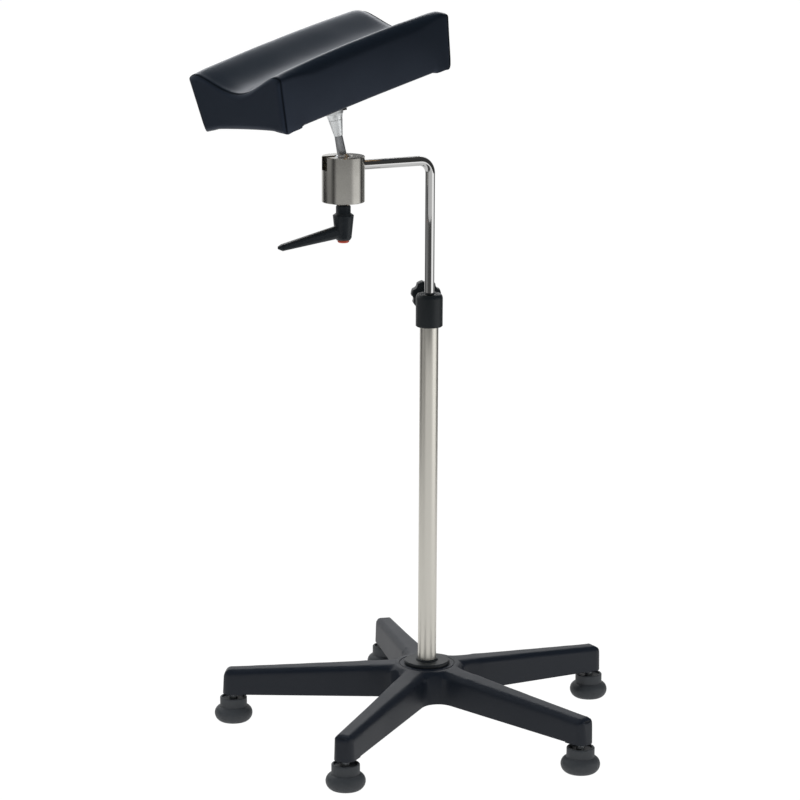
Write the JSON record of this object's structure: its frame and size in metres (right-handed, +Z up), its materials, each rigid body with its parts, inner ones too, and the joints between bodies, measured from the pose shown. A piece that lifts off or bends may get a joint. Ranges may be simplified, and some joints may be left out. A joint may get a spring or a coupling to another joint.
{
  "type": "tattoo arm rest stand",
  "caption": "Height-adjustable forearm rest: troughed upholstered pad on a lever-locked ball joint, bent chrome arm, steel column, star base on round glides.",
  "frame": {"origin": "on the floor, in the column's axis", "axes": "+Z up the column; the bent arm and the ball housing lie along -X; +Y to complete a right-handed frame"},
  "size_m": [0.6244, 0.559, 0.9777],
  "materials": {
    "base_nylon": "satin black glass-filled nylon",
    "foot_nylon": "satin black nylon",
    "black_bush": "satin black plastic",
    "collar_nylon": "satin black nylon",
    "lever_nylon": "satin black nylon",
    "white_acetal": "smooth natural acetal",
    "red_button": "gloss red-orange plastic",
    "brushed_tube": "brushed stainless",
    "chromed_rod": "polished chrome",
    "polished_housing": "polished stainless",
    "ball_steel": "dull grey steel",
    "silver_socket": "silver-painted casting",
    "zinc_steel": "zinc-plated steel",
    "spring_steel": "bright spring steel",
    "black_screw": "blackened steel",
    "brass_insert": "plain brass",
    "plywood": "raw plywood",
    "pad_foam": "open-cell foam",
    "black_vinyl": "black grained vinyl, semi-matte"
  },
  "bodies": {
    "base": {"star_base": "base_nylon", "foot_glide_1": "foot_nylon", "foot_glide_2": "foot_nylon", "foot_glide_3": "foot_nylon", "foot_glide_4": "foot_nylon", "foot_glide_5": "foot_nylon", "glide_pins": "zinc_steel", "column_tube": "brushed_tube", "column_bush": "black_bush", "hub_cover": "black_bush", "tube_nut": "zinc_steel", "base_washer": "zinc_steel", "base_bolt": "zinc_steel", "clamp_collar": "collar_nylon", "collar_liner": "black_bush", "collar_insert": "brass_insert"},
    "knob": {"star_knob": "collar_nylon", "knob_stud": "zinc_steel", "knob_tip": "white_acetal"},
    "guide": {"rod_guide": "white_acetal"},
    "mast": {"bent_rod": "chromed_rod", "rod_circlips": "spring_steel", "ball_housing": "polished_housing", "housing_plug": "zinc_steel", "pressure_piece": "zinc_steel", "lever_washer": "zinc_steel"},
    "ball_cup": {"ball_seat": "white_acetal"},
    "ball": {"ball_stud": "ball_steel", "stem_cone": "silver_socket"},
    "head": {"head_socket": "silver_socket", "socket_lock_screw": "black_screw", "plate_screws": "zinc_steel", "tee_nuts": "zinc_steel", "pad_board": "plywood", "pad_foam": "pad_foam", "pad_cover": "black_vinyl", "cover_staples": "spring_steel"},
    "lever": {"lever_handle": "lever_nylon", "lever_insert": "brass_insert", "clamp_stud": "zinc_steel", "retaining_screw": "black_screw", "button_spring": "spring_steel"},
    "button": {"lever_button": "red_button"}
  },
  "joints": [
    {"name": "rod_slide", "type": "slide", "parent": "base", "child": "guide", "axis": [0, 0, 1], "range_m": [-0.15, 0.2]},
    {"name": "arm_swivel", "type": "hinge", "parent": "guide", "child": "mast", "pos_m": [0, 0, 0.5935], "axis": [0, 0, 1], "continuous": true},
    {"name": "knob_turn", "type": "hinge", "parent": "base", "child": "knob", "pos_m": [0, 0, 0.5935], "axis": [0.3584, 0.9336, 0], "range_deg": [0, 360]},
    {"name": "ball_turn", "type": "hinge", "parent": "mast", "child": "ball_cup", "pos_m": [-0.127, 0, 0.786], "axis": [0, 0, 1], "continuous": true},
    {"name": "ball_tilt", "type": "hinge", "parent": "ball_cup", "child": "ball", "pos_m": [-0.127, 0, 0.786], "axis": [0, 1, 0], "range_deg": [-18.5, 41.5]},
    {"name": "pad_turn", "type": "hinge", "parent": "ball", "child": "head", "pos_m": [-0.127, 0, 0.786], "axis": [-0.1994, 0, 0.9799], "continuous": true},
    {"name": "lever_turn", "type": "hinge", "parent": "mast", "child": "lever", "pos_m": [-0.127, 0, 0.7], "axis": [0, 0, 1], "range_deg": [-90, 90]},
    {"name": "button_push", "type": "slide", "parent": "lever", "child": "button", "axis": [0, 0, 1], "range_m": [0, 0.0025], "stiffness_N_per_m": 400, "springref_m": -0.003, "deforming": ["button_spring"]}
  ]
}
